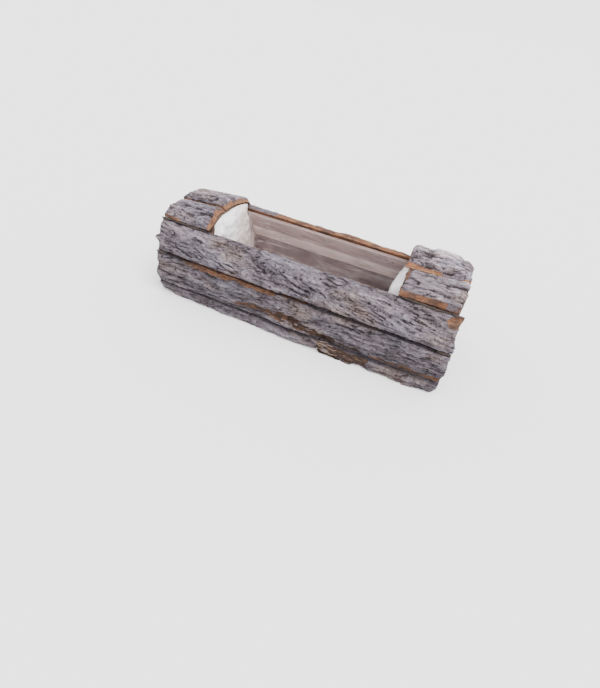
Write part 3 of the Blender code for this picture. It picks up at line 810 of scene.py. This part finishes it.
def arch_height(y):
    """Height of the bark's underside over the ends of the opening, at y across it."""
    eave, ridge, back_eave = ARCH
    rows = ((eave, ridge, FRONT_BEND), (ridge, back_eave, BACK_BEND))
    heights = []
    for (y0, z0), (y1, z1), rise in rows:
        share = np.clip((y - y0) / (y1 - y0), 0, 1)
        heights.append(lerp(z0, z1, share) + rise * 4 * share * (1 - share))
    return np.where(y < ridge[0], heights[0], heights[1])


def film_length(section, marks, half):
    """The film along the trough: its grid of points, and the milkiness of each of them, with whitish
    streaks of painted sheen.
    """
    xs = np.linspace(-half, half, round(2 * half / FILM_STEP) + 1)
    x, s = np.meshgrid(xs, marks, indexing="ij")
    step = np.gradient(section, axis=0)
    step = step / np.linalg.norm(step, axis=1)[:, None]
    inward = np.stack([-step[:, 1], step[:, 0]], axis=-1)
    fold = slanted_noise(FILM_FOLDS, x, s, 201)
    crease = np.abs(slanted_noise(FILM_CREASES, x, s, 202))
    lift = FILM_FOLD_LIFT * smooth(-0.2, 0.7, fold) + FILM_CREASE_LIFT * (1 - crease) ** 3
    at = section[None] + inward[None] * lift[..., None]
    # Whitish streaks along the film: painted sheen.
    sheen_streak = lines_where_zero(slanted_noise(FILM_SHEEN_STREAKS, x, s, 203), FILM_SHEEN_STREAK_WIDTH)
    sheen_streak = sheen_streak * smooth(-0.05, 0.45, noise_of(FILM_SHEEN_STREAK_PATCHES, x, s, 204))
    veil = CREASE_VEIL * (1 - crease) ** 3 + STREAK_SHEEN * sheen_streak
    veil = veil + CORNER_VEIL * smooth(half - CORNER_WIDTH, half, np.abs(x)) ** 2
    return np.concatenate([x[..., None], at], axis=-1), veil


def film_end(section, half, sign, bulge_front, bulge_back, crumpled):
    """The film at one end of the trough, up to the arch: its points, and the milkiness of each."""
    t, w = np.meshgrid(np.linspace(0, 1, FILM_END_CELLS), np.linspace(-1, 1, FILM_END_CELLS),
                       indexing="ij")
    end_half = np.where(w < 0, FILM_END_FRONT, FILM_END_BACK)
    z = lerp(section[:, 1].min(), arch_height(w * end_half) - FILM_UNDER_ARCH, t)
    side = np.interp(z, *side_of_section(section))
    y = w * lerp(side, np.minimum(side, end_half), smooth(*FILM_NARROWS, z))
    bulge = lerp(bulge_front, bulge_back, (w + 1) / 2)
    swell = smooth(0.0, 0.16, 1 - t) * smooth(0.0, 0.5, t) * (1 - w ** 8)
    crumple = gradient_noise(y * 75 + z * 20, z * 60, 211 + sign) * FILM_CRUMPLES
    wrinkle = np.abs(gradient_noise(y * 150, z * 120 + y * 60, 214 + sign)) * FILM_WRINKLES
    crumple = crumpled * np.abs(crumple + wrinkle) * (1 - np.abs(w) ** 6)
    inside = bulge * swell + crumple * smooth(0.0, 0.05, 1 - t)
    veil = END_VEIL[0] + END_VEIL[1] * gradient_noise(y * 60, z * 60, 219 + sign)
    return np.stack([sign * (half - inside), y, z], axis=-1), veil


def film_liner():
    """Clear film that lines the trough: one length along it, and a folded sheet at each end."""
    section, marks = spread(film_section(), FILM_STEP)
    half = WINDOW_HALF - FILM_CLEARANCE
    grids = [(1, *film_length(section, marks, half))]
    grids += [(-end[0], *film_end(section, half, *end)) for end in FILM_ENDS]
    points, milky_and_sheen, faces = [], [], []
    for facing, grid, veil in grids:
        quads = grid_faces(*veil.shape, offset=sum(len(part) for part in points))
        faces.append(quads if facing > 0 else quads[:, ::-1])
        points.append(grid.reshape(-1, 3))
        milky_and_sheen.append(np.clip(veil, 0, 1).reshape(-1))
    mesh = bpy.data.meshes.new("film_liner")
    mesh.from_pydata(np.concatenate(points).tolist(), [], np.concatenate(faces).tolist())
    # The film's milkiness, with its streaks of painted sheen.
    give_attribute(mesh, "milky_and_sheen", np.concatenate(milky_and_sheen))
    mesh.shade_smooth()
    return add("film_liner", mesh, film_material())


def strand(points, radius, sides=5, tip=0.12):
    """A thin closed strand along a line of points: its corners and faces, pointed at both ends."""
    points = np.array(points)
    along = np.gradient(points, axis=0)
    along = along / np.linalg.norm(along, axis=1)[:, None]
    side = np.cross(along, (0.0, 0.0, 1.0))
    side = side / np.linalg.norm(side, axis=1)[:, None]
    up = np.cross(side, along)
    turn = np.arange(sides) * 2 * math.pi / sides
    taper = radius * np.sin(np.linspace(tip, math.pi - tip, len(points))) ** 0.4
    ring = np.cos(turn)[None, :, None] * side[:, None] + np.sin(turn)[None, :, None] * up[:, None]
    corners = (points[:, None] + ring * taper[:, None, None]).reshape(-1, 3)
    index = np.arange(len(corners)).reshape(len(points), sides)
    around = np.roll(index, -1, axis=1)
    walls = np.stack([index[:-1], around[:-1], around[1:], index[1:]], axis=-1).reshape(-1, 4)
    return corners, walls.tolist() + [index[0, ::-1].tolist(), index[-1].tolist()]


def strands_piece(name, lines, finish):
    corners, faces = [], []
    for points, radius in lines:
        start = sum(len(part) for part in corners)
        made, made_faces = strand(points, radius)
        corners.append(np.clip(made, *CAD_BOX))
        faces += [[start + k for k in face] for face in made_faces]
    mesh = bpy.data.meshes.new(name)
    mesh.from_pydata(np.concatenate(corners).tolist(), [], faces)
    mesh.shade_smooth()
    return add(name, mesh, finish)


def fibre_lines():
    """Loose fibres over the torn foot of the front, from a seeded draw."""
    draw = np.random.default_rng(FIBRE_SEED)
    lines = []
    for _ in range(FIBRE_COUNT):
        start = np.array((draw.uniform(*FIBRE_X), FIBRE_Y, draw.uniform(*FIBRE_Z)))
        reach = np.array((draw.uniform(*FIBRE_REACH), 0.0, draw.uniform(*FIBRE_RISE)))
        sag, sway = draw.uniform(*FIBRE_SAG), draw.uniform(*FIBRE_SWAY)
        share = np.linspace(0, 1, 9)[:, None]
        arc = 4 * share * (1 - share)
        points = start + reach * share + np.array((0, -sway, 0)) * arc + np.array((0, 0, sag)) * arc
        lines.append((points, draw.uniform(*FIBRE_RADIUS)))
    return lines


def splinter_lines():
    """Torn wood that shows in the ends of the gaps between slabs, darkened as painted shade in them.
    """
    lines = []
    for first, last, radius in SPLINTERS:
        share = np.linspace(0, 1, 12)[:, None]
        points = np.array(first) + (np.array(last) - np.array(first)) * share
        lift = SPLINTER_WAVE[1] * edge_noise(SPLINTER_WAVE, points[:, 0], 301)
        lines.append((points + np.stack([lift * 0, lift, lift], axis=-1), radius))
    return lines


def mirrored(line):
    (y0, z0), (y1, z1) = line
    return (-y1, z1), (-y0, z0)


def trimmed(line, first=TRIM, second=TRIM):
    a, b = Vector(line[0]), Vector(line[1])
    step = (b - a).normalized()
    return tuple(a + step * first), tuple(b - step * second)


def slabs():
    """Every slab of bark by its node's name, with the frame's own sizes.

    lines are the section lines at the left and the right end. ends are the left and the right X,
    and depth the bark's height at the left and the right end, each at the first and the second
    edge. nicks are (side, low, high, cut) and dents (left, right, (low, low), (high, high), sink).
    torn patches are dents that have lost their bark, and the last number says how rotten they are.
    set_back slants the ends and lean the edges. fresh_sides says how much fresh wood shows on the
    left end, the right end, the first edge and the second edge, and fresh_spans changes that on
    part of a side, as (side, left, right, share).
    """
    left, right = -HALF_LENGTH, HALF_LENGTH
    near_left, near_right = -WINDOW_HALF, WINDOW_HALF
    foot = trimmed((FOOT, KNEE), 0)
    wall = trimmed((KNEE, SHOULDER))
    slope = trimmed((SHOULDER, RIM), TRIM, RIM_TRIM)
    back_foot, back_wall, back_slope = mirrored(foot), mirrored(wall), mirrored(slope)
    left_front = trimmed(LEFT_ARCH[:2], TRIM, RIDGE_TRIM)
    left_back = trimmed(LEFT_ARCH[1:], TRIM, TRIM)
    front, back = trimmed(ARCH[:2], TRIM, RIDGE_TRIM), trimmed(ARCH[1:], RIDGE_TRIM, TRIM)
    wide_front, wide_back = trimmed(ARCH[:2], TRIM, WIDE_TRIM), trimmed(ARCH[1:], WIDE_TRIM, TRIM)
    # Each slab's brightness factor paints light on the top slab behind on the right and shade on the
    # lower front slabs and feet, partly their own darker grey; its other factor paints its furrows
    # darker and its ridges lighter.
    return {
        "bark_front_upper": dict(
            lines=(slope, slope), ends=((left - 0.001, left + 0.002), (right + 0.007, right + 0.002)),
            depth=((0.0085, 0.0075), (0.0090, 0.0075)), crown=0.0065, seed=21, twist=0.10,
            nicks=((-1, 0.33, 0.48, -0.006),),
            torn=((0.189, 0.220, (0.68, 0.64), (1.10, 1.10), 0.0030, 0.45),),
            fresh_sides=(0.2, 0.8, 0.1, 0.15), shade=0.96, painted_shade_contrast=1.2),
        "bark_front_lower": dict(
            lines=(wall, wall), ends=((left - 0.003, left - 0.001), (right + 0.008, right + 0.008)),
            depth=((0.0105, 0.0090), (0.0115, 0.0095)), crown=0.0025, seed=35, twist=-0.03,
            torn=((-0.160, -0.022, (0.92, 0.90), (1.10, 1.10), 0.0030, 0.0),
                  (-0.075, 0.012, (0.20, 0.24), (0.32, 0.54), 0.0025, 0.60),
                  (0.004, 0.058, (0.22, -0.10), (0.54, 0.30), 0.0040, 0.75),
                  (0.052, 0.112, (-0.10, -0.10), (0.32, 0.10), 0.0045, 0.90),
                  (0.110, 0.205, (0.00, 0.04), (0.09, 0.20), 0.0015, 0.50)),
            fresh_sides=(0.2, 0.6, 0.8, 0.0), shade=0.60, painted_shade_contrast=1.15,
            fresh_spans=((SECOND, -0.165, -0.020, 1.0), (SECOND, -0.010, 0.024, 1.0))),
        "bark_front_foot_left": dict(
            lines=(foot, foot), ends=((left - 0.002, left - 0.003), (0.0490, 0.0490)),
            depth=((0.0120, 0.0120), (0.0190, 0.0150)), crown=0.0005, seed=46, twist=0.0,
            rough_ends=(0.6, 0.2), fresh_sides=(0.1, 0.2, 0.1, 0.05), shade=0.68),
        "bark_front_foot_right": dict(
            lines=(foot, foot), ends=((0.0500, 0.0500), (right + 0.005, right + 0.008)),
            depth=((0.0250, 0.0150), (0.0185, 0.0130)), crown=0.0005, seed=58, twist=0.0,
            rough_ends=(0.2, 1.0), dents=((0.100, 0.165, (-0.10, -0.10), (0.40, 0.40), 0.0065),),
            torn=((0.030, 0.120, (-0.10, 0.45), (1.10, 1.10), 0.0025, 1.0),),
            fresh_sides=(0.6, 0.4, 0.1, 0.3), shade=0.68),
        "bark_back_upper": dict(
            lines=(back_slope, back_slope), ends=((left + 0.001, left + 0.001), (right, right)),
            depth=((0.0120, 0.0090), (0.0070, 0.0090)), crown=0.0050, seed=63, twist=0.04,
            torn=((-0.078, 0.130, (-0.10, -0.10), (0.05, 0.09), 0.0006, 0.15),),
            fresh_sides=(0.7, 0.7, 0.15, 0.2), fresh_spans=((FIRST, -0.085, 0.200, 1.0),)),
        "bark_back_lower_left": dict(
            lines=(back_wall, back_wall), ends=((left, left), (-0.0300, -0.0300)),
            depth=((0.0095, 0.0105), (0.0100, 0.0110)), crown=0.0025, seed=74, twist=0.0,
            rough_ends=(1.0, 0.4)),
        "bark_back_lower_right": dict(
            lines=(back_wall, back_wall), ends=((-0.0275, -0.0275), (right, right)),
            depth=((0.0085, 0.0100), (0.0095, 0.0105)), crown=0.0030, seed=89, twist=0.03,
            rough_ends=(0.4, 1.0),
            torn=((0.020, 0.090, (-0.10, -0.10), (0.15, 0.15), 0.0030, 0.6),)),
        "bark_back_foot": dict(
            lines=(back_foot, back_foot), ends=((left + 0.003, left + 0.003), (right, right)),
            depth=((0.0120, 0.0115), (0.0115, 0.0110)), crown=0.0005, seed=92, twist=0.0),
        "bark_left_top_front": dict(
            lines=(left_front, front), ends=((left + 0.004, left + 0.013), (near_left, near_left)),
            depth=((0.0100, 0.0040), (0.0130, 0.0065)), crown=0.0010, seed=107, twist=0.05,
            bend=FRONT_BEND, lean=(-0.0030, 0.0), thin_edge=0.50,
            set_back=((0.0, 0.0), (0.0030, 0.0085)), fresh_sides=(0.5, 1.0, 0.2, 0.4), painted_shade_contrast=1.5,
            fresh_spans=((FIRST, -0.200, -0.172, 0.8),)),
        "bark_left_top_back": dict(
            lines=(left_back, back), ends=((left, left), (near_left, near_left)),
            depth=((0.0085, 0.0048), (0.0100, 0.0062)), crown=-0.0010, seed=118, twist=0.02,
            bend=BACK_BEND, lean=(-0.0010, 0.0), set_back=((0.0, 0.0), (0.0060, 0.0050)),
            fresh_sides=(0.5, 1.0, 0.8, 0.5), painted_shade_contrast=1.7),
        "bark_right_top_front": dict(
            lines=(front, wide_front),
            ends=((near_right - 0.001, near_right - 0.001), (right - 0.002, right - 0.003)),
            depth=((0.0095, 0.0060), (0.0140, 0.0070)), crown=0.0015, seed=127, twist=0.0,
            bend=FRONT_BEND, lean=(-0.0055, -0.0025), set_back=((0.0010, 0.0070), (0.0, 0.0)),
            fresh_sides=(1.0, 0.9, 0.9, 0.9), painted_shade_contrast=1.6),
        "bark_right_top_back": dict(
            lines=(back, wide_back),
            ends=((near_right - 0.005, near_right - 0.009), (right - 0.001, right - 0.004)),
            depth=((0.0120, 0.0110), (0.0110, 0.0085)), crown=0.0040, seed=139, twist=0.0,
            bend=BACK_BEND, lean=(-0.0040, 0.0), set_back=((0.0020, 0.0010), (0.0010, 0.0010)),
            dents=((0.148, 0.182, (0.30, 0.30), (1.10, 1.10), -0.0030),),
            fresh_sides=(0.7, 0.6, 0.9, 0.4), shade=1.60, painted_shade_contrast=1.9),
    }


def add_camera():
    data = bpy.data.cameras.new("camera")
    data.sensor_width = SENSOR_MM
    data.lens = SENSOR_MM * FOCAL_PX / FRAME_HEIGHT_PX
    camera = bpy.data.objects.new("camera", data)
    bpy.context.scene.collection.objects.link(camera)
    flat = math.cos(CAMERA_ELEVATION)
    back = Vector((math.sin(CAMERA_AZIMUTH) * flat, -math.cos(CAMERA_AZIMUTH) * flat,
                   math.sin(CAMERA_ELEVATION)))
    level = (-back).cross(Vector((0, 0, 1))).normalized()
    upright = back.cross(level)
    turn = Matrix.Rotation(CAMERA_ROLL, 3, back)
    axes = Matrix((turn @ level, turn @ upright, back)).transposed()
    camera.matrix_world = Matrix.Translation(CAMERA_AT) @ axes.to_4x4()
    bpy.context.scene.camera = camera


def add_sun():
    data = bpy.data.lights.new("key", "SUN")
    data.energy = SUN_POWER
    data.angle = SUN_SPREAD
    light = bpy.data.objects.new("key", data)
    bpy.context.scene.collection.objects.link(light)
    light.location = SUN_AT
    light.rotation_euler = (-Vector(SUN_AT)).to_track_quat("-Z", "Y").to_euler()


def add_studio():
    mesh = bpy.data.meshes.new("floor")
    corners = [(-1, -1, 0), (1, -1, 0), (1, 1, 0), (-1, 1, 0)]
    mesh.from_pydata([[FLOOR_REACH * c for c in corner] for corner in corners],
                     [], [(0, 1, 2, 3)])
    finish = bpy.data.materials.new("floor_finish")
    finish.use_nodes = True
    shader = finish.node_tree.nodes["Principled BSDF"]
    shader.inputs["Base Color"].default_value = FLOOR_COLOUR
    shader.inputs["Roughness"].default_value = FLOOR_ROUGHNESS
    shader.inputs["Specular IOR Level"].default_value = 0.0
    add("floor", mesh, finish)
    world = bpy.data.worlds.new("studio")
    world.use_nodes = True
    background = world.node_tree.nodes["Background"]
    background.inputs["Color"].default_value = WORLD_COLOUR
    background.inputs["Strength"].default_value = WORLD_STRENGTH
    bpy.context.scene.world = world
    add_sun()


def dress_frame():
    """Gives the boards and staples of the frame their finishes."""
    upper = board_material("upper_board_finish", UPPER_BOARD, shaded_above=UPPER_BOARD_TOP)
    lower = board_material("lower_board_finish", LOWER_BOARD)
    pale = board_material("pale_board_finish", PALE_BOARD)
    cross = board_material("end_board_finish", CROSS_BOARD, across=True)
    finishes = {"staple": metal_material(), "end_board": cross, "partition": cross, "base": lower,
                "slat_front_upper": upper, "slat_back_upper": upper,
                "slat_front_middle": pale, "slat_back_middle": pale,
                "slat_front_lower": lower, "slat_back_lower": lower}
    for name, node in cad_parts.items():
        for start, finish in finishes.items():
            if name.startswith(start):
                node.data.materials.clear()
                node.data.materials.append(finish)


def dress_bark():
    finish = bark_material()
    for name, slab in slabs().items():
        piece = bark_slab(name + "_fine", slab, finish)
        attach(piece, "root")
        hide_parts(name)
    straw = fibre_material("fibre_finish", FIBRE_COLOURS)
    gap_shade_finish = fibre_material("splinter_gap_shade_finish", SPLINTER_SHADE_COLOURS)
    for name, lines, finish in (("loose_fibres", fibre_lines(), straw),
                                ("shaded_splinters", splinter_lines(), gap_shade_finish)):
        piece = strands_piece(name, lines, finish)
        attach(piece, "root")


def dress_film():
    film = film_liner()
    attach(film, "root")
    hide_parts("liner")


add_camera()
add_studio()
dress_frame()
dress_bark()
dress_film()
